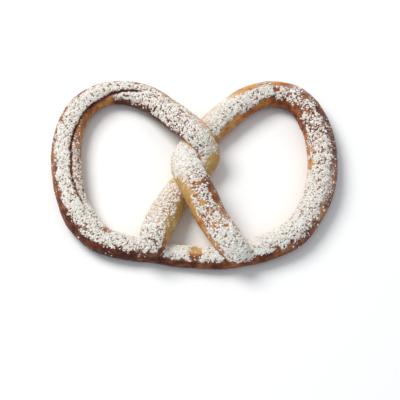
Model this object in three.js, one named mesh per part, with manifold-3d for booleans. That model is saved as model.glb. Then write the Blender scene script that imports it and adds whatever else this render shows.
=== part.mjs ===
// A soft pretzel: one rope of dough, tied in a full twist and baked into a single piece of bread.
//
// Lengths are in millimetres. +Z is up, +X runs across the two loops, and +Y runs from the
// bottom bar to the tops of the loops. The origin is on the surface that the pretzel rests on,
// under the middle of it.

import * as THREE from "three";
import { mergeVertices } from "three/addons/utils/BufferGeometryUtils.js";
import Module from "manifold-3d";

// The rope's cross-section is an oval, a little lower than it is wide.
const FLATNESS = 0.86;
// The weight of the dough presses its underside flat, by this depth.
const PRESSED_FLAT = 0.9;
// Each end of the rope is rounded off over this length, down to this share of its size.
const END_ROUNDING = 8;
const END_SHARE = 0.3;

// The rope from end to end. Each stop gives x, y, how far the rope is lifted off the surface,
// and its width.
const ROPE = [
  // the left leg, from its end on the bottom bar, up to the knot
  [-28, -61, 4.0, 15.0],
  [-23.6, -49, 6.5, 18.0],
  [-18.4, -34, 3.0, 19.3],
  [-11, -18, 0.0, 18.5],
  // under the other strand, then round the right side of the knot and over it
  [-2, -5, 0.0, 17.0],
  [8, 7, 4.5, 16.5],
  [2.4, 18.5, 10.5, 17.6],
  [-7.6, 30.5, 8.5, 18.0],
  [-18.5, 42.5, 4.0, 17.8],
  [-31, 53.8, 0.5, 17.2],
  // the left loop
  [-47, 59, 0.0, 16.5],
  [-63, 55, 0.0, 17.0],
  [-75, 42, 0.0, 18.5],
  [-80, 24, 0.0, 19.5],
  [-80, 5, 0.0, 20.0],
  [-77, -15, 0.0, 19.5],
  [-70, -34, 0.0, 18.5],
  [-57, -47.7, 0.0, 17.0],
  // the bottom bar
  [-38, -54, 0.0, 14.6],
  [-17, -57.2, 0.0, 13.0],
  [4, -59.6, 0.0, 13.4],
  [24, -58.8, 0.0, 14.8],
  [42, -54, 0.0, 16.0],
  // the right loop
  [60, -45, 0.0, 17.0],
  [72, -29, 0.0, 17.5],
  [79, -11, 0.0, 18.5],
  [81, 9, 0.0, 19.0],
  [78, 33, 0.0, 18.5],
  [67, 52, 0.0, 18.0],
  [49, 57.6, 0.0, 17.4],
  [32.8, 50.8, 0.0, 18.8],
  [17, 36.8, 0.0, 19.0],
  // under the other strand, then round the left side of the knot and over it
  [4.4, 22.6, 0.5, 17.4],
  [-3, 11, 4.5, 17.0],
  [-4.9, -1.2, 8.5, 18.8],
  [-1, -12, 10.5, 19.8],
  // the right leg, down to its end on the bottom bar
  [4.6, -24, 9.5, 19.8],
  [11.6, -38, 6.5, 19.4],
  [20.4, -52, 7.5, 18.2],
  [30, -64, 4.0, 15.0],
];
// The stops at the tops of the two loops, where the rope is divided so that no length of it
// crosses itself. The lengths are joined again into one body.
const LEFT_LOOP_TOP = 10;
const RIGHT_LOOP_TOP = 29;

// How finely the surface is faceted.
const SIDES = 16;
const RINGS_PER_STOP = 4;

// Larger than the pretzel every way, for the block that trims the underside.
const TRIM_SIZE = 300;

const CRUST_COLOUR = 0xa8642c;
const CRUST_ROUGHNESS = 0.6;

const UP = new THREE.Vector3(0, 0, 1);

const wasm = await Module();
wasm.setup();

// Height of the rope's middle above the surface at a stop.
function middleHeight([, , lift, width]) {
  return lift + (width * FLATNESS) / 2 - PRESSED_FLAT;
}

const route = new THREE.CatmullRomCurve3(
  ROPE.map((stop) => new THREE.Vector3(stop[0], stop[1], middleHeight(stop))),
  false,
  "catmullrom",
  0.5,
);

// The rope's width at a place that is counted in stops from its first end.
function widthAt(place) {
  const stop = Math.min(Math.floor(place), ROPE.length - 2);
  return THREE.MathUtils.lerp(ROPE[stop][3], ROPE[stop + 1][3], place - stop);
}

// The share of its full size that the rope has at a point: less than one only near its two ends.
function endShare(point) {
  const ends = [route.points[0], route.points[ROPE.length - 1]];
  const distance = Math.min(...ends.map((end) => point.distanceTo(end)));
  const left = Math.max(1 - distance / END_ROUNDING, 0);
  return END_SHARE + (1 - END_SHARE) * Math.sqrt(1 - left * left);
}

// The oval cross-section at a place along the rope: its middle and its two half axes.
function sectionAt(place) {
  const along = place / (ROPE.length - 1);
  const middle = route.getPoint(along);
  const forward = route.getTangent(along);
  const across = new THREE.Vector3().crossVectors(forward, UP).normalize();
  const upward = new THREE.Vector3().crossVectors(across, forward);
  const halfWidth = (widthAt(place) / 2) * endShare(middle);
  across.multiplyScalar(halfWidth);
  upward.multiplyScalar(halfWidth * FLATNESS);
  return { middle, across, upward };
}

// A length of rope between two stops: a straight rod of unit radius, bent along the route.
function ropeBetween(firstStop, lastStop) {
  const stops = lastStop - firstStop;
  const rod = new THREE.CylinderGeometry(1, 1, stops, SIDES, stops * RINGS_PER_STOP);
  const corners = rod.attributes.position;
  for (let i = 0; i < corners.count; i += 1) {
    const place = firstStop + stops / 2 + corners.getY(i);
    const { middle, across, upward } = sectionAt(place);
    middle.addScaledVector(across, corners.getX(i));
    middle.addScaledVector(upward, corners.getZ(i));
    corners.setXYZ(i, middle.x, middle.y, middle.z);
  }
  return rod;
}

// The block of space under the surface.
function trimBlock() {
  const block = new THREE.BoxGeometry(TRIM_SIZE, TRIM_SIZE, TRIM_SIZE);
  block.translate(0, 0, -TRIM_SIZE / 2);
  return block;
}

function solidFrom(geometry) {
  geometry.deleteAttribute("normal");
  geometry.deleteAttribute("uv");
  const merged = mergeVertices(geometry);
  const mesh = new wasm.Mesh({
    numProp: 3,
    vertProperties: merged.attributes.position.array,
    triVerts: Uint32Array.from(merged.index.array),
  });
  return new wasm.Manifold(mesh);
}

function geometryFrom(solid) {
  const mesh = solid.getMesh();
  const geometry = new THREE.BufferGeometry();
  geometry.setAttribute("position", new THREE.BufferAttribute(mesh.vertProperties, 3));
  geometry.setIndex(new THREE.BufferAttribute(mesh.triVerts, 1));
  geometry.computeVertexNormals();
  return geometry;
}

function makePretzel() {
  const leftStrand = solidFrom(ropeBetween(0, LEFT_LOOP_TOP));
  const outerRope = solidFrom(ropeBetween(LEFT_LOOP_TOP, RIGHT_LOOP_TOP));
  const rightStrand = solidFrom(ropeBetween(RIGHT_LOOP_TOP, ROPE.length - 1));
  const joined = outerRope.add(leftStrand).add(rightStrand);
  const trimmed = joined.subtract(solidFrom(trimBlock()));
  const crust = new THREE.MeshStandardMaterial({
    color: CRUST_COLOUR,
    roughness: CRUST_ROUGHNESS,
    metalness: 0,
  });
  const pretzel = new THREE.Mesh(geometryFrom(trimmed), crust);
  pretzel.name = "pretzel";
  return pretzel;
}

const model = new THREE.Group();
model.add(makePretzel());

export default model;
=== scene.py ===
"""A soft pretzel with a coat of white granules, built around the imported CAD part.

The crust is one mesh. The rope of dough is swept along the same route as the CAD solid, its
strands are fused, and the marks of rolling and baking are worked into the surface. The coat is
two pieces of real crystals, coarse and fine, scattered over the crust where it faces up.

Lengths are in metres unless a name says otherwise. +Z is up, +X runs across the two loops, and
+Y runs from the bottom bar to the tops of the loops.
"""

import math

import bpy
import numpy as np
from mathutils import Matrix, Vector, noise
from mathutils.kdtree import KDTree


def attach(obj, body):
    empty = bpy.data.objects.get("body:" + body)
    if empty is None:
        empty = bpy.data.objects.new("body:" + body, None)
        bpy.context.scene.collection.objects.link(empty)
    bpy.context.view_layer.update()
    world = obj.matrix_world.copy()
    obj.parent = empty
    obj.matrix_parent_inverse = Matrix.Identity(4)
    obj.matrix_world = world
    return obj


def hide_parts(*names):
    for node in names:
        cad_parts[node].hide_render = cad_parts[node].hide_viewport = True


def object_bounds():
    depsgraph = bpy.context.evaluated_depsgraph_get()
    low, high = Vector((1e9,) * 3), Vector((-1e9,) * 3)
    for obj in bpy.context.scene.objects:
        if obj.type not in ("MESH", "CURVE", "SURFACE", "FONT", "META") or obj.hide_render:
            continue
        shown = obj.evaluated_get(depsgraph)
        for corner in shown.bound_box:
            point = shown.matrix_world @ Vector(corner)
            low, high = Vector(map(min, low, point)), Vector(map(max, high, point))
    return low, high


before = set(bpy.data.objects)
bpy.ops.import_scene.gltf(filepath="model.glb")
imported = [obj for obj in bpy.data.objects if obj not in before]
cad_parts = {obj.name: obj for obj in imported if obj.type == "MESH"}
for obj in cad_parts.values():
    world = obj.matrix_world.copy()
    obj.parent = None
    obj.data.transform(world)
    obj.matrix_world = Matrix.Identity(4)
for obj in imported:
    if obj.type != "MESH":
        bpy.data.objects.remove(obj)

CAD_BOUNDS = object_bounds()
NODE = "pretzel"
BODY = "root"
MM = 0.001

# ---------------------------------------------------------------------------------------------
# The rope of dough
# ---------------------------------------------------------------------------------------------

# The route of the CAD solid, in millimetres: x, y, lift off the surface, and width.
ROPE_MM = np.array([
    # the left leg, from its end on the bottom bar, up to the knot
    (-28, -61, 4.0, 15.0), (-23.6, -49, 6.5, 18.0), (-18.4, -34, 3.0, 19.3), (-11, -18, 0.0, 18.5),
    # under the other strand, then round the right side of the knot and over it
    (-2, -5, 0.0, 17.0), (8, 7, 4.5, 16.5), (2.4, 18.5, 10.5, 17.6), (-7.6, 30.5, 8.5, 18.0),
    (-18.5, 42.5, 4.0, 17.8), (-31, 53.8, 0.5, 17.2),
    # the left loop
    (-47, 59, 0.0, 16.5), (-63, 55, 0.0, 17.0), (-75, 42, 0.0, 18.5), (-80, 24, 0.0, 19.5),
    (-80, 5, 0.0, 20.0), (-77, -15, 0.0, 19.5), (-70, -34, 0.0, 18.5), (-57, -47.7, 0.0, 17.0),
    # the bottom bar
    (-38, -54, 0.0, 14.6), (-17, -57.2, 0.0, 13.0), (4, -59.6, 0.0, 13.4), (24, -58.8, 0.0, 14.8),
    (42, -54, 0.0, 16.0),
    # the right loop
    (60, -45, 0.0, 17.0), (72, -29, 0.0, 17.5), (79, -11, 0.0, 18.5), (81, 9, 0.0, 19.0),
    (78, 33, 0.0, 18.5), (67, 52, 0.0, 18.0), (49, 57.6, 0.0, 17.4), (32.8, 50.8, 0.0, 18.8),
    (17, 36.8, 0.0, 19.0),
    # under the other strand, then round the left side of the knot and over it
    (4.4, 22.6, 0.5, 17.4), (-3, 11, 4.5, 17.0), (-4.9, -1.2, 8.5, 18.8), (-1, -12, 10.5, 19.8),
    # the right leg, down to its end on the bottom bar
    (4.6, -24, 9.5, 19.8), (11.6, -38, 6.5, 19.4), (20.4, -52, 7.5, 18.2), (30, -64, 4.0, 15.0),
])
LAST_STOP = len(ROPE_MM) - 1
# The section is an oval, a little lower than it is wide, and its underside is pressed flat by this
# depth. Each end is rounded off over this length, down to this share of its size.
FLATNESS = 0.86
PRESSED_FLAT = 0.9 * MM
END_ROUNDING = 8 * MM
END_SHARE = 0.3

# The sweep, before the strands are fused. The route is first measured at many more samples.
ROUTE_SAMPLES = 4000
RING_SPACING = 0.9 * MM
RING_SIDES = 48
# Hand rolling leaves the rope's thickness uneven by this share, over about this length.
UNEVEN_SHARE = 0.025
UNEVEN_LENGTH = 22 * MM

# Another part of the rope is one that is more than this many stops away along it. For the room
# beside it the rope is sampled once in this many rings.
OTHER_STOPS = 1.6
OTHER_STEP = 2

# The strands are fused on a grid of cells this large.
VOXEL = 0.70 * MM
# Each round of smoothing steps in by one share and back by another. Where dough has run together
# it steps back by less, so that the creases fill up.
STEP_IN = 0.5
STEP_BACK = 0.52
MELTING_STEP_BACK = 0.30
CREASE_SMOOTHING = 6
END_SMOOTHING = 38
# Dough has run together where the two ends are baked onto the bar: on an end up to this many
# stops from its tip, on the bar this near to an end's last two stops, and on both this near to
# the other surface. Each pair says where it starts to fade and where it stops.
END_STOPS = (0.91, 1.3)
END_REACH = (12 * MM, 16 * MM)
END_NEARNESS = (1.35 * MM, 4.5 * MM)


def smoothstep(low, high, value):
    t = np.clip((value - low) / (high - low), 0, 1)
    return t * t * (3 - 2 * t)


def unit(vectors):
    return vectors / np.linalg.norm(vectors, axis=-1, keepdims=True)


def noise_at(points, size, octaves=3, shift=0.0):
    """Smooth noise from about -1 to 1, with features of about `size`."""
    scale = 1 / size
    return np.array([
        noise.fractal(Vector((x * scale + shift, y * scale, z * scale)), 1.0, 2.0, octaves)
        for x, y, z in points
    ])


class Rope:
    """The middle line of the rope, sampled finely, with its section at each sample."""

    def __init__(self):
        middle = ROPE_MM[:, 2] + ROPE_MM[:, 3] * FLATNESS / 2
        stops = np.column_stack([ROPE_MM[:, :2], middle, ROPE_MM[:, 3]]) * MM
        stops[:, 2] -= PRESSED_FLAT
        self.stops = stops
        sampled = np.linspace(0, LAST_STOP, ROUTE_SAMPLES)
        route, _ = self._curve(sampled)
        lengths = np.linalg.norm(np.diff(route[:, :3], axis=0), axis=1)
        travelled = np.concatenate([[0], np.cumsum(lengths)])
        count = int(travelled[-1] / RING_SPACING) + 1
        self.along = np.linspace(0, travelled[-1], count)
        self.place = np.interp(self.along, travelled, sampled)
        self.stop_length = np.diff(np.interp(np.arange(len(stops)), self.place, self.along))
        curve, heading = self._curve(self.place)
        self.middle = curve[:, :3]
        self.width = curve[:, 3]
        self.forward = unit(heading[:, :3])
        self.right = unit(np.cross(self.forward, (0, 0, 1)))
        self.up = np.cross(self.right, self.forward)
        self.tree = KDTree(count)
        for i, point in enumerate(self.middle):
            self.tree.insert(point, i)
        self.tree.balance()

    def _curve(self, place):
        """Points and headings of the uniform Catmull-Rom curve through the stops."""
        stops = self.stops
        ends = 2 * stops[[0, -1]] - stops[[1, -2]]
        padded = np.vstack([ends[:1], stops, ends[1:]])
        first = np.clip(place.astype(int), 0, LAST_STOP - 1)
        t = (place - first)[:, None]
        p0, p1, p2, p3 = (padded[first + i] for i in range(4))
        leave, arrive = (p2 - p0) / 2, (p3 - p1) / 2
        square = 3 * (p2 - p1) - 2 * leave - arrive
        cube = 2 * (p1 - p2) + leave + arrive
        point = p1 + leave * t + square * t**2 + cube * t**3
        return point, leave + 2 * square * t + 3 * cube * t**2

    def end_share(self):
        """The share of its full size that the rope has: less than one only near its ends."""
        distance = np.minimum(self.along, self.along[-1] - self.along)
        left = np.clip(1 - distance / END_ROUNDING, 0, 1)
        return END_SHARE + (1 - END_SHARE) * np.sqrt(1 - left**2)

    def locate(self, points):
        """For each point: the place in stops, the length along, and the angle from the top.

        The angle is in degrees, positive on the right-hand side as the rope runs: the outside
        of both loops, the bar's near side, the left leg's right and the right leg's left."""
        nearest = np.array([self.tree.find(p)[1] for p in points])
        offset = points - self.middle[nearest]
        sideways = np.einsum("ij,ij->i", offset, self.right[nearest])
        upward = np.einsum("ij,ij->i", offset, self.up[nearest]) / FLATNESS
        angle = np.degrees(np.arctan2(sideways, upward))
        return self.place[nearest], self.along[nearest], angle

    def distance_from(self, at, place):
        """How far along the rope each place is past the place `at`."""
        stop = np.clip(place.astype(int), 0, LAST_STOP - 1)
        return (place - at) * self.stop_length[stop]

    def room_beside(self, points, place):
        """How far each point is from the surface of any other part of the rope."""
        room = np.full(len(points), np.inf)
        for i in range(0, len(self.middle), OTHER_STEP):
            offset = points - self.middle[i]
            sideways = offset @ self.right[i]
            upward = offset @ self.up[i] / FLATNESS
            onward = offset @ self.forward[i]
            away = np.sqrt(sideways**2 + upward**2 + onward**2) - self.width[i] / 2
            apart = np.abs(place - self.place[i]) > OTHER_STOPS
            room = np.where(apart, np.minimum(room, away), room)
        return np.maximum(room, 0)


def new_object(name, points, faces):
    mesh = bpy.data.meshes.new(name)
    mesh.from_pydata(points, [], faces)
    mesh.validate()
    made = bpy.data.objects.new(name, mesh)
    bpy.context.scene.collection.objects.link(made)
    return made


def coordinates(mesh):
    flat = np.empty(len(mesh.vertices) * 3, np.float32)
    mesh.vertices.foreach_get("co", flat)
    return flat.reshape(-1, 3).astype(float)


def set_coordinates(mesh, points):
    mesh.vertices.foreach_set("co", points.astype(np.float32).ravel())
    mesh.update()


def vertex_normals(mesh):
    flat = np.empty(len(mesh.vertices) * 3, np.float32)
    mesh.vertex_normals.foreach_get("vector", flat)
    return flat.reshape(-1, 3).astype(float)


def add_value(mesh, name, values):
    layer = mesh.attributes.new(name, "FLOAT", "POINT")
    layer.data.foreach_set("value", values.astype(np.float32))


def smooth(points, edges, rounds, step_back=STEP_BACK):
    """Evens out a surface by Taubin's method: each step in is followed by a step back."""
    count = np.bincount(edges.ravel(), minlength=len(points))[:, None]
    for step in range(rounds * 2):
        total = np.zeros_like(points)
        for axis in range(3):
            total[:, axis] = np.bincount(edges[:, 0], points[edges[:, 1], axis], len(points))
            total[:, axis] += np.bincount(edges[:, 1], points[edges[:, 0], axis], len(points))
        pull = STEP_IN if step % 2 == 0 else -step_back
        points = points + pull * (total / count - points)
    return points


def sweep(rope):
    """The rope as one closed tube that still runs through itself at the knot."""
    turn = np.linspace(0, 2 * math.pi, RING_SIDES, endpoint=False)
    around = np.column_stack([np.sin(turn), np.cos(turn)])
    uneven = 1 + UNEVEN_SHARE * noise_at(rope.middle, UNEVEN_LENGTH, 2)
    half = rope.width / 2 * rope.end_share() * uneven
    across = rope.right * half[:, None]
    upward = rope.up * (half * FLATNESS)[:, None]
    rings = (
        rope.middle[:, None]
        + across[:, None] * around[None, :, :1]
        + upward[:, None] * around[None, :, 1:]
    )
    count = len(rope.middle)
    points = rings.reshape(-1, 3)
    points[:, 2] = np.maximum(points[:, 2], 0)
    side = np.arange(RING_SIDES)
    following = (side + 1) % RING_SIDES
    faces = []
    for ring in range(count - 1):
        here, there = ring * RING_SIDES, (ring + 1) * RING_SIDES
        faces += np.column_stack(
            [here + side, here + following, there + following, there + side]
        ).tolist()
    faces.append(side[::-1].tolist())
    faces.append(((count - 1) * RING_SIDES + side).tolist())
    return points, faces


def fused(points, faces, rope):
    """One closed surface around all strands, with the creases between them softened."""
    rough = new_object("rough", points, faces)
    remesh = rough.modifiers.new("fuse", "REMESH")
    remesh.mode = "VOXEL"
    remesh.voxel_size = VOXEL
    remesh.adaptivity = 0
    seen = rough.evaluated_get(bpy.context.evaluated_depsgraph_get())
    mesh = bpy.data.meshes.new_from_object(seen)
    bpy.data.objects.remove(rough)
    edges = np.empty(len(mesh.edges) * 2, np.int32)
    mesh.edges.foreach_get("vertices", edges)
    edges = edges.reshape(-1, 2)
    softened = smooth(coordinates(mesh), edges, CREASE_SMOOTHING)
    melted = smooth(softened, edges, END_SMOOTHING, MELTING_STEP_BACK)
    share = melted_share(softened, rope)[:, None]
    set_coordinates(mesh, softened + share * (melted - softened))
    return mesh


def melted_share(points, rope):
    """How much the dough has run together at each point, around the two ends: from 0 to 1."""
    place, _, _ = rope.locate(points)
    from_tip = np.minimum(place, LAST_STOP - place)
    on_end = 1 - smoothstep(*END_STOPS, from_tip)
    from_ends = np.min(
        [np.linalg.norm(points - rope.stops[i, :3], axis=1) for i in (0, 1, -2, -1)], axis=0
    )
    on_bar = (1 - smoothstep(*END_REACH, from_ends)) * (from_tip > END_STOPS[1])
    near = 1 - smoothstep(*END_NEARNESS, rope.room_beside(points, place))
    return near * np.maximum(on_end, on_bar)


# ---------------------------------------------------------------------------------------------
# The marks of rolling and baking
# ---------------------------------------------------------------------------------------------

# Each pattern of noise has its own shift, so that no two patterns line up.
SHIFTS = {"streaks": 53.3, "seam": 71.9, "coat_edge": 5.5, "clumps": 9.1, "browning_and_shade": 23.0}

# Relief of the whole crust: size of a feature, height, octaves, shift of the noise.
RELIEF = [
    (16 * MM, 0.30 * MM, 2, 3.1),
    (5.0 * MM, 0.20 * MM, 2, 17.7),
    (2.2 * MM, 0.10 * MM, 2, 41.3),
]

# The rolled dough didn't close along the left loop: a seam starts on its outside by the knot,
# crosses the top of the rope and runs down the loop's inside. Place in stops, and angle.
SEAM = np.array([
    (8.8, 8), (9.3, -5), (9.8, -18), (10.4, -31), (10.8, -40), (11.5, -43), (12.3, -38),
    (13.0, -27), (13.5, -22), (14.8, -19), (15.5, -32), (16.2, -48),
])
SEAM_DEPTH = 1.5 * MM
SEAM_HALF_WIDTH = 1.35 * MM
# It wanders by this much, over about this length, and opens and closes over these many stops.
SEAM_WANDER = 0.8 * MM
SEAM_WANDER_LENGTH = 7 * MM
SEAM_OPENING = 0.7
SEAM_CLOSING = 0.8
# Inside the seam lies a strip of dough that is lower by this much. Its edge spans this stretch
# across the rope, and it starts between these places.
TERRACE_DROP = 1.0 * MM
TERRACE_EDGE = (-1.5 * MM, 1.0 * MM)
TERRACE_START = (10.0, 10.6)

# Rolling leaves streaks along the rope: their length, width and height.
STREAK_LENGTH = 16 * MM
STREAK_WIDTH = 2.6 * MM
STREAK_HEIGHT = 0.13 * MM

# Where two strands meet, the crease between them is drawn in. Where the dough has run together,
# this share of it is left.
CREASE_WIDTH = 1.1 * MM
CREASE_DEPTH = 0.7 * MM
MELTED_CREASE = 0.3

# The underside stays flat on the surface: the relief grows to its full height up to here.
FULL_RELIEF_HEIGHT = 1.5 * MM

# Small splits and pits in the skin: place in stops, angle in degrees, and then in millimetres half
# the length along the rope, half the width and the depth.
PITS = [
    (16.88, -24, 1.0, 0.9, 1.8),
    (17.10, -30, 4.5, 1.2, 0.5),
    (2.30, 5, 0.9, 0.9, 0.9),
    (12.10, 12, 0.8, 0.8, 0.8),
    (14.20, 14, 0.8, 0.8, 0.8),
    (15.30, -3, 0.9, 0.8, 1.0),
    (26.60, 8, 1.2, 0.7, 0.7),
    (27.30, 20, 1.8, 0.7, 0.7),
    (36.60, 20, 0.9, 0.9, 0.8),
    (38.30, -5, 1.0, 0.7, 0.8),
]

# Bare patches, where the coat has come off or never stuck: place in stops, angle in degrees, half
# the length in millimetres and half the width in degrees.
BARE_PATCHES = [
    (4.90, 35, 6, 30),
    (6.40, 74, 8, 22),
    (7.20, -50, 1.5, 20),
    (8.10, -44, 1.5, 24),
    (9.75, -38, 5, 6),
    (17.05, -45, 4.5, 34),
    (19.85, -8, 6.6, 72),
    (25.65, -58, 6, 28),
    (27.25, 34, 5, 26),
    (27.35, -12, 2.2, 24),
    (27.70, -40, 7, 18),
    (27.85, 12, 4.5, 20),
    (28.60, 30, 7, 26),
    (28.75, -8, 3.5, 14),
    (29.90, 40, 13, 48),
    (32.75, 12, 2.8, 55),
    (33.80, -62, 6, 20),
    (35.30, 85, 14, 44),
    (35.60, -12, 1.8, 40),
    (36.20, -36, 7, 20),
    (36.35, 16, 2.4, 16),
    (36.85, -4, 2.2, 15),
    (37.00, 58, 6, 16),
    (37.45, 24, 2.6, 14),
    (37.70, -18, 2.4, 14),
]
# A patch is bare out to the first share of its size, and fades out up to the second.
PATCH_EDGE = (0.3, 1.0)


def seam_offset(place, angle, rope_width):
    """How far each point lies outside the seam, across the rope, and how open the seam is."""
    line = np.interp(place, SEAM[:, 0], SEAM[:, 1])
    offset = np.radians(angle - line) * rope_width / 2
    first, last = SEAM[0, 0], SEAM[-1, 0]
    opened = smoothstep(first, first + SEAM_OPENING, place)
    closed = smoothstep(last - SEAM_CLOSING, last, place)
    return offset, opened * (1 - closed)


def bare_share(rope, place, angle):
    """How deep each point lies in any bare patch, from 0 outside to 1 in the middle."""
    share = np.zeros(len(place))
    for at, turned, half_length, half_width in BARE_PATCHES:
        lengthwise = rope.distance_from(at, place) / (half_length * MM)
        sideways = (angle - turned) / half_width
        share = np.maximum(share, 1 - smoothstep(*PATCH_EDGE, np.hypot(lengthwise, sideways)))
    return share


def work_surface(mesh, rope):
    """Gives the fused dough its relief, seam and pits, and returns what the finish needs."""
    points = coordinates(mesh)
    place, along, angle = rope.locate(points)
    rope_width = np.interp(along, rope.along, rope.width)
    normal = vertex_normals(mesh)
    raised = np.zeros(len(points))
    for size, height, octaves, shift in RELIEF:
        raised += height * noise_at(points, size, octaves, shift)

    arc = np.radians(angle) * rope_width / 2
    lengthwise = along * STREAK_WIDTH / STREAK_LENGTH
    unrolled = np.column_stack([lengthwise, arc, np.zeros(len(points))])
    streaks = noise_at(unrolled, STREAK_WIDTH, 2, SHIFTS["streaks"])
    raised += STREAK_HEIGHT * streaks

    offset, open_share = seam_offset(place, angle, rope_width)
    offset += SEAM_WANDER * noise_at(points, SEAM_WANDER_LENGTH, 2, SHIFTS["seam"])
    groove = np.exp(-((offset / SEAM_HALF_WIDTH) ** 2)) * open_share
    inside = 1 - smoothstep(*TERRACE_EDGE, offset)
    terrace = inside * open_share * smoothstep(*TERRACE_START, place)
    raised -= SEAM_DEPTH * groove + TERRACE_DROP * terrace

    crease = np.exp(-((rope.room_beside(points, place) / CREASE_WIDTH) ** 2))
    crease *= 1 - (1 - MELTED_CREASE) * melted_share(points, rope)
    raised -= CREASE_DEPTH * crease

    pitted = np.zeros(len(points))
    for at, turned, half_length, half_width, depth in PITS:
        lengthwise = rope.distance_from(at, place) / (half_length * MM)
        sideways = np.radians(angle - turned) * rope_width / 2 / (half_width * MM)
        pit = np.exp(-(lengthwise**2 + sideways**2))
        raised -= depth * MM * pit
        pitted = np.maximum(pitted, pit)

    raised *= smoothstep(0, FULL_RELIEF_HEIGHT, points[:, 2])
    points = points + normal * raised[:, None]
    points[:, 2] = np.maximum(points[:, 2], 0)
    set_coordinates(mesh, points)
    return {
        "points": points,
        "place": place,
        "angle": angle,
        "groove": groove,
        "crease": crease,
        "terrace": terrace,
        "pitted": pitted,
        "streaks": streaks,
    }


# ---------------------------------------------------------------------------------------------
# Browning, painted shade and coat
# ---------------------------------------------------------------------------------------------

# The finish along the rope. Each row gives a place in stops, how far from the top the coat
# reaches on the right-hand and the left-hand side in degrees, how gappy it is, how brown the
# crust is on the right-hand and the left-hand side, from 0 pale to 1 nearly black, which is partly
# baked colour and partly painted shade on the low sides that turn from the lamp, and how much
# sugar dust lies past the coat's edge on the right-hand and the left-hand side.
FINISH = np.array([
    # the left leg, up to the knot
    (0.0, 44, 58, 0.45, 0.92, 0.88, 0.00, 0.20), (0.7, 46, 90, 0.50, 0.66, 0.60, 0.10, 0.30),
    (1.2, 36, 80, 0.80, 0.24, 0.34, 0.00, 0.40), (2.6, 34, 70, 0.84, 0.22, 0.26, 0.00, 0.40),
    (3.2, 5, 35, 0.40, 0.12, 0.08, 0.10, 0.25), (4.0, 0, 25, 0.40, 0.20, 0.20, 0.00, 0.00),
    # over the knot to the left loop
    (4.6, 5, 40, 0.40, 0.25, 0.30, 0.40, 0.30), (5.3, 16, 62, 0.45, 0.27, 0.50, 0.50, 0.20),
    (5.8, 32, 74, 0.52, 0.26, 0.84, 0.50, 0.10), (7.0, 36, 72, 0.70, 0.48, 0.98, 0.32, 0.10),
    (8.2, 34, 64, 0.74, 0.58, 1.00, 0.25, 0.00), (9.2, 37, 60, 0.56, 0.62, 0.98, 0.20, 0.10),
    (10.2, 36, 58, 0.42, 0.64, 0.92, 0.15, 0.00), (10.5, 35, 62, 0.38, 0.66, 0.60, 0.15, 0.00),
    (12.0, 36, 62, 0.40, 0.66, 0.56, 0.15, 0.00), (13.2, 44, 70, 0.42, 0.64, 0.56, 0.12, 0.15),
    (15.0, 42, 75, 0.42, 0.80, 0.52, 0.10, 0.20),
    # the lower left and the bottom bar
    (16.0, 33, 90, 0.44, 0.93, 0.46, 0.06, 0.30), (18.0, 31, 90, 0.48, 1.00, 0.44, 0.03, 0.30),
    (19.5, 37, 90, 0.06, 0.87, 0.34, 0.00, 0.30), (20.6, 39, 90, 0.00, 0.84, 0.36, 0.00, 0.30),
    (21.6, 30, 90, 0.16, 0.85, 0.42, 0.00, 0.30),
    # the right loop
    (22.6, 40, 90, 0.34, 0.76, 0.42, 0.12, 0.30), (24.0, 28, 90, 0.50, 0.76, 0.42, 0.34, 0.30),
    (25.0, 25, 76, 0.60, 0.80, 0.42, 0.44, 0.30), (26.2, 28, 60, 0.76, 0.86, 0.50, 0.22, 0.10),
    (27.2, 26, 50, 1.00, 0.90, 0.78, 0.18, 0.00), (28.4, 18, 44, 0.92, 0.66, 0.84, 0.40, 0.00),
    (29.3, 12, 46, 0.55, 0.38, 0.66, 0.25, 0.00), (30.2, 28, 46, 0.35, 0.38, 0.54, 0.55, 0.00),
    (31.6, 36, 44, 0.28, 0.32, 0.46, 0.55, 0.00),
    # over the knot and down the right leg
    (33.0, 75, 50, 0.28, 0.22, 0.22, 0.50, 0.25), (34.4, 62, 62, 0.28, 0.18, 0.26, 0.50, 0.35),
    (35.0, 44, 54, 0.45, 0.14, 0.40, 0.20, 0.25), (35.6, 32, 34, 0.92, 0.26, 0.78, 0.00, 0.15),
    (36.2, 46, 28, 0.85, 0.38, 0.72, 0.00, 0.15), (37.2, 58, 28, 0.86, 0.42, 0.60, 0.05, 0.25),
    (38.0, 58, 46, 0.62, 0.42, 0.52, 0.20, 0.35), (38.4, 66, 82, 0.35, 0.42, 0.50, 0.35, 0.35),
    (39.0, 74, 84, 0.30, 0.84, 0.80, 0.00, 0.00),
])
# The coat thins out within this many degrees on both sides of its edge. The edge wanders by up
# to this many degrees, in patches of about this size.
COAT_EDGE = 14
COAT_WANDER = 20
COAT_PATCH_SIZE = 5 * MM
# The coat never sticks where the crust faces down: these are upward parts of its normal.
COAT_FACING = (0.05, 0.28)
COAT_THICKNESS = 0.3 * MM
# Past the coat's edge the dust thins out over this many more degrees.
DUST_REACH = 70
DUST_FACING = (-0.3, 0.3)
# The coat lies in clumps of about this size. Between them it is thinner by up to this share. The
# levels are of the noise, and thinning grows with the gappiness.
CLUMP_SIZE = 2.6 * MM
CLUMP_DEPTH = 0.40
CLUMP_LEVELS = (0.12, -0.40)
CLUMP_THINNING = (0.45, 0.7)
# A bare patch is more or less bare by the same noise that moves the coat's edge.
BARE_LEVEL = 1.1
BARE_WANDER = 0.8
# How much of the coat is missing from the strip inside the seam, at its top end and by how much
# less at its lower end, between these places.
STRIP_BARE = 0.94
STRIP_REGAINED = 0.50
STRIP_LOWER = (11.8, 14.4)
# How much of the coat is missing in the seam's groove and in creases.
GROOVE_BARE = 1.3
CREASE_BARE = 0.9
# At the tips of the rope, this many stops long, the surface also turns away lengthwise.
TIP_STOPS = 0.3

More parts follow.
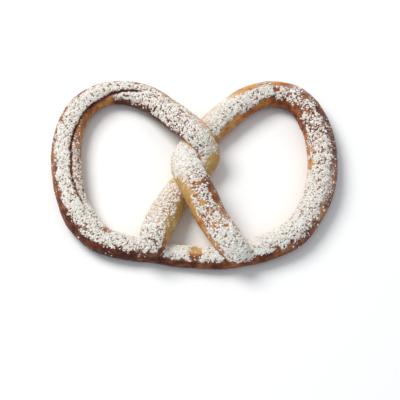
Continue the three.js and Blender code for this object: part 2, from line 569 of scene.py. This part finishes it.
# Gaps in the coat: how many, their smallest and largest radius, how far they lean to the small
# side, how dense they are where the coat isn't gappy, how much denser where it is, and their seed.
GAP_COUNT = 4200
GAP_RADII = (0.40 * MM, 0.95 * MM)
GAP_SIZE_LEAN = 1.8
GAP_DENSITY = 0.45
GAP_CROWDING = 2.6
GAP_SEED = 5
# The coat closes between these shares of a gap's radius from its middle.
GAP_EDGE = (0.45, 1.35)
# Where the coat isn't gappy, this much of its film is left at the bottom of a gap.
GAP_FILM = 0.30
# The crust at the bottom of a gap is darkened by this much, as painted shade in the hole. Under a
# full coat it gets no browner than this, which is a dark red-brown.
GAP_SHADE = 0.26
COATED_BROWNEST = 0.84

# The browning changes from the left-hand value to the right-hand one between these angles.
BROWN_TURN = (-35, 35)
# What else browns the crust: patches of about this size, streaks, the tray up to this height,
# where painted contact shadow is added too, and painted shade in the seam's groove, the pits and
# the creases.
BROWN_PATCHES = 0.10
BROWN_PATCH_SIZE = 9 * MM
BROWN_STREAKS = 0.12
# Browning from the tray, together with painted contact shadow along the underside.
TRAY_BROWNING_AND_SHADE = 0.18
TRAY_HEIGHTS = (0.5 * MM, 4.5 * MM)
# Painted shade in the seam's groove and in the pits.
GROOVE_AND_PIT_SHADE = 0.34
# Painted shade in the creases between strands.
CREASE_SHADE = 0.14
# Under the coat the crust is browner, because the top of the rope faced the heat. It is browner
# still where the coat isn't very gappy: not at the first gappiness, and fully at the second.
BROWN_TOP = 0.10
BROWN_TOP_MORE = 0.18
VERY_GAPPY = (0.85, 0.5)


class Gaps:
    """Small random holes in the coat, through which the crust shows."""

    def __init__(self, mesh, coat, gappy):
        rng = np.random.default_rng(GAP_SEED)
        density = coat * (GAP_DENSITY + GAP_CROWDING * gappy**2)
        spots, _ = scatter(rng, mesh, density, GAP_COUNT)
        small, large = GAP_RADII
        self.radii = small + (large - small) * rng.random(GAP_COUNT) ** GAP_SIZE_LEAN
        self.tree = KDTree(GAP_COUNT)
        for i, spot in enumerate(spots):
            self.tree.insert(spot, i)
        self.tree.balance()

    def share(self, points):
        """The distance of each point from the nearest gap's middle, over that gap's radius."""
        found = [self.tree.find(point) for point in points]
        nearest = np.array([index for _, index, _ in found])
        distance = np.array([away for _, _, away in found])
        return distance / self.radii[nearest]


def finish_values(mesh, marks, rope):
    """The coat's coverage, the dust past its edge, its gappiness and the crust's browning with
    painted shade.
    """
    points, place, angle = marks["points"], marks["place"], marks["angle"]
    columns = [np.interp(place, FINISH[:, 0], FINISH[:, i]) for i in range(1, FINISH.shape[1])]
    reach_right, reach_left, gappy, brown_and_shade_right, brown_and_shade_left, dust_right, dust_left = columns
    patchy = noise_at(points, COAT_PATCH_SIZE, 3, SHIFTS["coat_edge"])
    reach = np.where(angle > 0, reach_right, reach_left) + COAT_WANDER * patchy
    upright = vertex_normals(mesh)[:, 2]
    at_tip = (place < TIP_STOPS) | (place > LAST_STOP - TIP_STOPS)
    tilt = np.degrees(np.arccos(np.clip(upright, -1, 1)))
    turned = np.where(at_tip, np.maximum(np.abs(angle), tilt), np.abs(angle))
    coat = 1 - smoothstep(reach - COAT_EDGE, reach + COAT_EDGE, turned)
    coat *= smoothstep(*COAT_FACING, upright)
    bare = bare_share(rope, place, angle)
    bare = np.clip(bare * (BARE_LEVEL + BARE_WANDER * patchy), 0, 1)
    strip = marks["terrace"] * (STRIP_BARE - STRIP_REGAINED * smoothstep(*STRIP_LOWER, place))
    groove = marks["groove"] * GROOVE_BARE
    crease = marks["crease"] * CREASE_BARE
    hidden = np.maximum.reduce([bare, strip, groove, crease, marks["pitted"]])
    shown = 1 - np.clip(hidden, 0, 1)
    coat *= shown
    thin = smoothstep(*CLUMP_LEVELS, noise_at(points, CLUMP_SIZE, 2, SHIFTS["clumps"]))
    least, more = CLUMP_THINNING
    coat *= 1 - CLUMP_DEPTH * thin * np.clip(least + more * gappy, 0, 1)
    dust = np.where(angle > 0, dust_right, dust_left) * shown
    dust *= 1 - smoothstep(reach, reach + DUST_REACH, turned)
    dust *= smoothstep(*DUST_FACING, upright)

    # Browning by side: partly baked colour, partly painted shade on the low sides turned from the
    # lamp.
    browning_and_shade = brown_and_shade_left + (brown_and_shade_right - brown_and_shade_left) * smoothstep(*BROWN_TURN, angle)
    browning_and_shade += BROWN_PATCHES * noise_at(points, BROWN_PATCH_SIZE, 3, SHIFTS["browning_and_shade"])
    browning_and_shade += BROWN_STREAKS * marks["streaks"]
    # The tray's browning together with painted contact shadow near the floor.
    browning_and_shade += TRAY_BROWNING_AND_SHADE * (1 - smoothstep(*TRAY_HEIGHTS, points[:, 2]))
    # Painted shade in the seam's groove and the pits.
    browning_and_shade += GROOVE_AND_PIT_SHADE * np.maximum(marks["groove"], marks["pitted"])
    # Painted shade in the creases.
    browning_and_shade += CREASE_SHADE * marks["crease"]
    browning_and_shade += (BROWN_TOP + BROWN_TOP_MORE * smoothstep(*VERY_GAPPY, gappy)) * coat
    return coat, dust, gappy, browning_and_shade


def with_gaps(coat, dust, gappy, browning_and_shade, closed):
    """The film and the browning with the gaps opened and painted shade in them: `closed` is 0 in a
    gap and 1 outside.
    """
    left = GAP_FILM * (1 - gappy)
    film = np.maximum(coat * (left + (1 - left) * closed), dust)
    # Painted shade darkens the crust at the bottom of each gap.
    browning_and_shade = browning_and_shade + GAP_SHADE * coat * (1 - closed)
    return film, np.clip(browning_and_shade, 0, 1 - (1 - COATED_BROWNEST) * coat)


# ---------------------------------------------------------------------------------------------
# Materials
# ---------------------------------------------------------------------------------------------

# Colours are linear. The crust's colour follows its browning with painted shade added, from 0 pale
# to 1 nearly black.
CRUST_TONES = [
    (0.00, (0.72, 0.52, 0.28)),
    (0.22, (0.42, 0.275, 0.080)),
    (0.40, (0.60, 0.30, 0.10)),
    (0.56, (0.42, 0.165, 0.045)),
    (0.74, (0.24, 0.072, 0.022)),
    (0.90, (0.15, 0.031, 0.009)),
    (1.00, (0.060, 0.014, 0.006)),
]
CRUST_SHINE = 0.15
# The noise textures mostly stay between these values.
NOISE_RANGE = (0.25, 0.75)
# Blotches and specks change the browning by these amounts.
BLOTCH_SIZE = 4.5 * MM
BLOTCH_TONES = (-0.15, 0.15)
SPECK_SIZE = 0.9 * MM
SPECK_LEVELS = (0.30, 0.75)
SPECK_TONES = (-0.06, 0.10)
# Bare skin is glossier in some patches than in others.
GLOSS_SIZE = 2.0 * MM
GLOSS_LEVELS = (0.3, 0.7)
SKIN_ROUGHNESS = (0.38, 0.60)
# Each pore takes up this share of its cell, and is this deep compared with the wrinkles.
PORE_SIZE = 0.8 * MM
PORE_SHARE = 0.35
PORE_DEPTH = 0.5
WRINKLE_SIZE = 0.7 * MM
# Each bump setting gives how strongly the bumps shade the surface, and their height.
CRUST_BUMP = (0.6, 0.25 * MM)

FILM_COLOUR = (0.77, 0.735, 0.67)
# The film's edge is ragged by this much. It starts to show and is thickest at these levels, and
# it is never quite opaque.
FILM_RAGGEDNESS = 0.38
FILM_LEVELS = (0.16, 0.72)
FILM_OPACITY = 0.95
# The film is fully matt from this opacity on.
FILM_MATT = 0.6
FILM_ROUGHNESS = (0.30, 0.88)

# The tints of the crystals, from toasted to clear white.
GRAIN_TONES = [
    (0.00, (0.50, 0.36, 0.22)),
    (0.10, (0.68, 0.61, 0.50)),
    (0.35, (0.79, 0.76, 0.70)),
    (1.00, (0.88, 0.87, 0.84)),
]
GRAIN_SHINE = 0.35
GRAIN_ROUGHNESS = (0.66, 0.40)
FROST_SIZE = 0.22 * MM
GRAIN_BUMP = (0.5, 0.05 * MM)

# The floor has faint clouds, patches that are more or less matt, and a fine grain, of these sizes.
FLOOR_CLOUD_SIZE = 0.4
FLOOR_TONES = [(0.0, (0.92, 0.92, 0.92)), (1.0, (0.94, 0.94, 0.94))]
FLOOR_PATCH_SIZE = 0.01
FLOOR_ROUGHNESS = (0.75, 0.85)
FLOOR_GRAIN_SIZE = 0.004
FLOOR_BUMP = (0.05, 1.0 * MM)


class Nodes:
    """A short way to write a node tree."""

    def __init__(self, name):
        self.material = bpy.data.materials.new(name)
        self.material.use_nodes = True
        self.tree = self.material.node_tree
        self.shader = self.tree.nodes["Principled BSDF"]

    def add(self, kind, **settings):
        node = self.tree.nodes.new(kind)
        for name, value in settings.items():
            setattr(node, name, value)
        return node

    def link(self, source, target):
        self.tree.links.new(source, target)

    def attribute(self, name):
        return self.add("ShaderNodeAttribute", attribute_name=name).outputs["Fac"]

    def place(self):
        return self.add("ShaderNodeTexCoord").outputs["Object"]

    def noise(self, size, detail, rough=0.5):
        node = self.add("ShaderNodeTexNoise")
        node.inputs["Scale"].default_value = 1 / size
        node.inputs["Detail"].default_value = detail
        node.inputs["Roughness"].default_value = rough
        self.link(self.place(), node.inputs["Vector"])
        return node.outputs["Fac"]

    def pores(self, size):
        node = self.add("ShaderNodeTexVoronoi", feature="F1")
        node.inputs["Scale"].default_value = 1 / size
        self.link(self.place(), node.inputs["Vector"])
        return node.outputs["Distance"]

    def between(self, value, low, high, out_low=0.0, out_high=1.0):
        node = self.add("ShaderNodeMapRange", interpolation_type="SMOOTHSTEP")
        self.link(value, node.inputs["Value"])
        for name, number in zip(
            ("From Min", "From Max", "To Min", "To Max"), (low, high, out_low, out_high)
        ):
            node.inputs[name].default_value = number
        return node.outputs["Result"]

    def maths(self, operation, first, second):
        node = self.add("ShaderNodeMath", operation=operation)
        for socket, value in zip(node.inputs, (first, second)):
            if isinstance(value, (int, float)):
                socket.default_value = value
            else:
                self.link(value, socket)
        return node.outputs["Value"]

    def ramp(self, value, tones):
        node = self.add("ShaderNodeValToRGB")
        points = node.color_ramp.elements
        while len(points) < len(tones):
            points.new(0.5)
        for point, (at, colour) in zip(points, tones):
            point.position = at
            point.color = (*colour, 1)
        self.link(value, node.inputs["Fac"])
        return node.outputs["Color"]

    def mix(self, factor, first, second):
        node = self.add("ShaderNodeMix", data_type="RGBA")
        self.link(factor, node.inputs["Factor"])
        colours = [s for s in node.inputs if s.type == "RGBA"]
        for socket, value in zip(colours, (first, second)):
            if isinstance(value, tuple):
                socket.default_value = (*value, 1)
            else:
                self.link(value, socket)
        return [s for s in node.outputs if s.type == "RGBA"][0]

    def bump(self, height, strength, distance):
        node = self.add("ShaderNodeBump")
        node.inputs["Strength"].default_value = strength
        node.inputs["Distance"].default_value = distance
        self.link(height, node.inputs["Height"])
        return node.outputs["Normal"]

    def finish(self, colour, roughness, normal, shine=0.5):
        self.shader.inputs["Specular IOR Level"].default_value = shine
        self.link(colour, self.shader.inputs["Base Color"])
        self.link(roughness, self.shader.inputs["Roughness"])
        self.link(normal, self.shader.inputs["Normal"])
        return self.material


def crust_material():
    """Baked dough: golden to red-brown skin with painted shade in its tone, with pores, under a
    film of dusted sugar.
    """
    n = Nodes("baked_crust")
    blotches = n.between(n.noise(BLOTCH_SIZE, 4), *NOISE_RANGE, *BLOTCH_TONES)
    specks = n.between(n.noise(SPECK_SIZE, 2), *SPECK_LEVELS, *SPECK_TONES)
    # The crust's browning, with painted shade added in, sets its tone.
    tone = n.maths("ADD", n.maths("ADD", n.attribute("browning_and_shade"), blotches), specks)
    skin = n.ramp(tone, CRUST_TONES)
    grainy = n.noise(SPECK_SIZE, 3, 0.7)
    ragged = n.between(grainy, *NOISE_RANGE, -FILM_RAGGEDNESS, FILM_RAGGEDNESS)
    level = n.maths("ADD", n.attribute("film"), ragged)
    film = n.between(level, *FILM_LEVELS, 0.0, FILM_OPACITY)
    colour = n.mix(film, skin, FILM_COLOUR)
    gloss = n.between(n.noise(GLOSS_SIZE, 3), *GLOSS_LEVELS, *SKIN_ROUGHNESS)
    roughness = n.maths("MAXIMUM", gloss, n.between(film, 0.0, FILM_MATT, *FILM_ROUGHNESS))
    pores = n.between(n.pores(PORE_SIZE), 0.0, PORE_SHARE)
    wrinkles = n.noise(WRINKLE_SIZE, 4, 0.6)
    height = n.maths("ADD", n.maths("MULTIPLY", pores, PORE_DEPTH), wrinkles)
    return n.finish(colour, roughness, n.bump(height, *CRUST_BUMP), CRUST_SHINE)


def grain_material():
    """White granules: each crystal has its own tint, from toasted cream to clear white."""
    n = Nodes("white_granules")
    tint = n.attribute("tint")
    colour = n.ramp(tint, GRAIN_TONES)
    roughness = n.between(tint, 0.0, 1.0, *GRAIN_ROUGHNESS)
    frost = n.noise(FROST_SIZE, 3, 0.6)
    return n.finish(colour, roughness, n.bump(frost, *GRAIN_BUMP), GRAIN_SHINE)


def floor_material():
    """Pale matt board, with hardly any change of tone."""
    n = Nodes("pale_floor")
    colour = n.ramp(n.noise(FLOOR_CLOUD_SIZE, 2), FLOOR_TONES)
    roughness = n.between(n.noise(FLOOR_PATCH_SIZE, 2), 0.0, 1.0, *FLOOR_ROUGHNESS)
    return n.finish(colour, roughness, n.bump(n.noise(FLOOR_GRAIN_SIZE, 2), *FLOOR_BUMP))


# ---------------------------------------------------------------------------------------------
# The coat of granules
# ---------------------------------------------------------------------------------------------

# For each size of granule: piece name, number, smallest and largest width, depth that it sits
# in the coat as a share of its width, and the seed of its random draws.
GRANULES = [
    ("granules_coarse", 8500, 0.60 * MM, 1.00 * MM, 0.40, 11),
    ("granules_fine", 16500, 0.36 * MM, 0.66 * MM, 0.30, 23),
]
# How thickly stray granules lie on the dust, as a share of the dust.
STRAY_SHARE = 0.16
# Granules keep out of the gaps, and may be as near to a gap's middle as this share of its radius.
GAP_MARGIN = 0.9
# Each granule has a cell of its own on the map, with this share of it left free at the rim.
CELL_RIM = 0.12
# Small granules are more common than large ones: this is how far their widths lean that way.
WIDTH_LEAN = 1.5
# A crystal is a block that is stretched by these shares, and its corners wander by this share of
# its width.
STRETCHES = (0.75, 1.25)
CORNER_JITTER = 0.22
# A crystal's middle stands out of the coat by between these shares of what its depth allows.
STANDING_OUT = (0.4, 1.0)
# This share of the crystals is toasted. The tints run from 0 toasted to 1 clear white.
TOASTED_SHARE = 0.05
TOASTED_TINTS = (0.0, 0.12)
WHITE_TINTS = (0.15, 1.0)
# The crystals lie on their broad sides: they are this much lower than they are wide.
LYING_FLAT = 0.35
CORNERS = np.array([(x, y, z) for x in (-0.5, 0.5) for y in (-0.5, 0.5) for z in (-0.5, 0.5)])
CORNER_FACES = np.array([
    (0, 1, 3), (0, 3, 2), (4, 6, 7), (4, 7, 5), (0, 4, 5), (0, 5, 1),
    (2, 3, 7), (2, 7, 6), (0, 2, 6), (0, 6, 4), (1, 5, 7), (1, 7, 3),
])


def triangles_of(mesh):
    mesh.calc_loop_triangles()
    flat = np.empty(len(mesh.loop_triangles) * 3, np.int32)
    mesh.loop_triangles.foreach_get("vertices", flat)
    return flat.reshape(-1, 3)


def random_rotations(rng, count):
    """Evenly spread rotation matrices, from random unit quaternions."""
    w, x, y, z = unit(rng.normal(size=(count, 4))).T
    return np.stack([
        np.stack([1 - 2 * (y * y + z * z), 2 * (x * y - z * w), 2 * (x * z + y * w)], -1),
        np.stack([2 * (x * y + z * w), 1 - 2 * (x * x + z * z), 2 * (y * z - x * w)], -1),
        np.stack([2 * (x * z - y * w), 2 * (y * z + x * w), 1 - 2 * (x * x + y * y)], -1),
    ], 1)


def scatter(rng, mesh, density, count):
    """Random spots on the crust, as dense as its vertices say, with the normals there."""
    corners = triangles_of(mesh)
    points = coordinates(mesh)
    normals = vertex_normals(mesh)
    a, b, c = (points[corners[:, i]] for i in range(3))
    area = np.linalg.norm(np.cross(b - a, c - a), axis=1) / 2
    weight = area * density[corners].mean(1)
    picked = rng.choice(len(corners), count, p=weight / weight.sum())
    u, v = rng.random((2, count))
    over = u + v > 1
    u[over], v[over] = 1 - u[over], 1 - v[over]
    share = np.column_stack([1 - u - v, u, v])
    spot = np.einsum("ij,ijk->ik", share, points[corners[picked]])
    normal = unit(np.einsum("ij,ijk->ik", share, normals[corners[picked]]))
    return spot, normal


def make_granules(name, mesh, cover, gaps, count, smallest, largest, sunk, seed):
    """Crystals of one size, scattered over the coat and clear of its gaps, as one mesh."""
    rng = np.random.default_rng(seed)
    spot, normal = scatter(rng, mesh, cover, count)
    clear = gaps.share(spot) > GAP_MARGIN
    spot, normal = spot[clear], normal[clear]
    count = len(spot)
    width = smallest + (largest - smallest) * rng.random(count) ** WIDTH_LEAN
    least, most = STRETCHES
    stretch = least + (most - least) * rng.random((count, 1, 3))
    jitter = CORNER_JITTER * (rng.random((count, len(CORNERS), 3)) - 0.5) * 2
    shape = (CORNERS + jitter) * stretch * width[:, None, None]
    turned = np.einsum("nij,nkj->nki", random_rotations(rng, count), shape)
    height = np.einsum("nki,ni->nk", turned, normal)
    turned -= LYING_FLAT * height[:, :, None] * normal[:, None]
    out = width * (0.5 - sunk) * rng.uniform(*STANDING_OUT, count)
    centre = spot + normal * out[:, None]
    points = (turned + centre[:, None]).reshape(-1, 3)
    points[:, 2] = np.maximum(points[:, 2], 0)
    first_corner = len(CORNERS) * np.arange(count)
    faces = (CORNER_FACES[None] + first_corner[:, None, None]).reshape(-1, 3)
    piece = new_object(name, points, faces)
    toasted = rng.random(count) < TOASTED_SHARE
    toasted_tint = rng.uniform(*TOASTED_TINTS, count)
    tint = np.where(toasted, toasted_tint, rng.uniform(*WHITE_TINTS, count))
    add_value(piece.data, "tint", np.repeat(tint, len(CORNERS)))
    lay_out(piece.data, count)
    return piece


def lay_out(mesh, count):
    """A map with one cell for each granule, on which all its faces lie."""
    rows = math.ceil(math.sqrt(count))
    cell = np.arange(count)
    corner = np.column_stack([cell % rows, cell // rows]) / rows
    low, high = CELL_RIM, 1 - CELL_RIM
    inner = np.array([(low, low), (high, low), (low, high)]) / rows
    layer = mesh.uv_layers.new(name="OFBake")
    spots = np.repeat(corner[:, None] + inner, len(CORNER_FACES), axis=0)
    layer.data.foreach_set("uv", spots.reshape(-1).astype(np.float32))


# ---------------------------------------------------------------------------------------------
# Floor, light and camera
# ---------------------------------------------------------------------------------------------

# The floor lies a hair below the pretzel's underside, so that the two faces don't coincide.
FLOOR_SIZE = 8.0
FLOOR_DROP = 0.1 * MM

# A cool white room, and one large soft lamp, a little warm, on the left and behind the pretzel.
ROOM_COLOUR = (0.90, 0.955, 1.0)
ROOM_STRENGTH = 0.60
LAMP_PLACE = (-0.78, 0.62, 1.23)
LAMP_WIDTH = 0.9
LAMP_WATTS = 21
LAMP_COLOUR = (1.0, 0.975, 0.94)

# The camera looks at this spot, which is given from the middle of the CAD solid's box.
AIM = Vector((0.0037, -0.0213, -0.0062))
CAMERA_ELEVATION = math.radians(62)
CAMERA_DISTANCE = 0.6889
LENS_MM = 100
SENSOR_MM = 36
NEAREST_SEEN = 0.01
FARTHEST_SEEN = 50


def middle_of(bounds):
    low, high = Vector(bounds[0]), Vector(bounds[1])
    return (low + high) / 2


def make_floor():
    half = FLOOR_SIZE / 2
    corners = [(-half, -half), (half, -half), (half, half), (-half, half)]
    floor = new_object("floor", [(x, y, -FLOOR_DROP) for x, y in corners], [(0, 1, 2, 3)])
    floor.data.materials.append(floor_material())


def make_light():
    """The room's even fill, and the lamp, which is aimed at the pretzel."""
    world = bpy.data.worlds.new("studio")
    world.use_nodes = True
    tree = world.node_tree
    fill = tree.nodes["Background"]
    fill.inputs["Color"].default_value = (*ROOM_COLOUR, 1)
    fill.inputs["Strength"].default_value = ROOM_STRENGTH
    bpy.context.scene.world = world

    lamp = bpy.data.lights.new("softbox", "AREA")
    lamp.shape = "DISK"
    lamp.size = LAMP_WIDTH
    lamp.energy = LAMP_WATTS
    lamp.color = LAMP_COLOUR
    softbox = bpy.data.objects.new("softbox", lamp)
    softbox.location = LAMP_PLACE
    aim = middle_of(CAD_BOUNDS) - softbox.location
    softbox.rotation_euler = aim.to_track_quat("-Z", "Y").to_euler()
    bpy.context.scene.collection.objects.link(softbox)


def make_camera():
    """A long lens in front of the pretzel, looking down at the photo's angle."""
    data = bpy.data.cameras.new("camera")
    data.lens = LENS_MM
    data.sensor_width = SENSOR_MM
    data.clip_start = NEAREST_SEEN
    data.clip_end = FARTHEST_SEEN
    camera = bpy.data.objects.new("camera", data)
    back = Vector((0, -math.cos(CAMERA_ELEVATION), math.sin(CAMERA_ELEVATION)))
    camera.location = middle_of(CAD_BOUNDS) + AIM + CAMERA_DISTANCE * back
    camera.rotation_euler = back.to_track_quat("Z", "Y").to_euler()
    bpy.context.scene.collection.objects.link(camera)
    bpy.context.scene.camera = camera


# ---------------------------------------------------------------------------------------------
# The pretzel
# ---------------------------------------------------------------------------------------------

def make_crust(rope):
    """The crust, the gaps in its coat, and how thickly granules cover each of its points."""
    mesh = fused(*sweep(rope), rope)
    marks = work_surface(mesh, rope)
    coat, dust, gappy, browning_and_shade = finish_values(mesh, marks, rope)
    gaps = Gaps(mesh, coat, gappy)
    closed = smoothstep(*GAP_EDGE, gaps.share(marks["points"]))
    film, browning_and_shade = with_gaps(coat, dust, gappy, browning_and_shade, closed)
    raised = vertex_normals(mesh) * (COAT_THICKNESS * film)[:, None]
    set_coordinates(mesh, marks["points"] + raised)
    add_value(mesh, "film", film)
    # The crust's browning with painted shade in its gaps, grooves, pits, creases and low sides.
    add_value(mesh, "browning_and_shade", browning_and_shade)
    mesh.polygons.foreach_set("use_smooth", np.ones(len(mesh.polygons), bool))
    mesh.materials.clear()
    mesh.materials.append(crust_material())
    made = bpy.data.objects.new("crust", mesh)
    bpy.context.scene.collection.objects.link(made)
    return made, gaps, coat**2 + STRAY_SHARE * dust


make_camera()
make_light()
make_floor()

crust, gaps, cover = make_crust(Rope())
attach(crust, BODY)
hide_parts(NODE)

granules = grain_material()
for name, count, smallest, largest, sunk, seed in GRANULES:
    piece = make_granules(name, crust.data, cover, gaps, count, smallest, largest, sunk, seed)
    piece.data.materials.append(granules)
    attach(piece, BODY)

# The render shows plain colours, so that the white floor and coat stay white.
bpy.context.scene.view_settings.view_transform = "Standard"
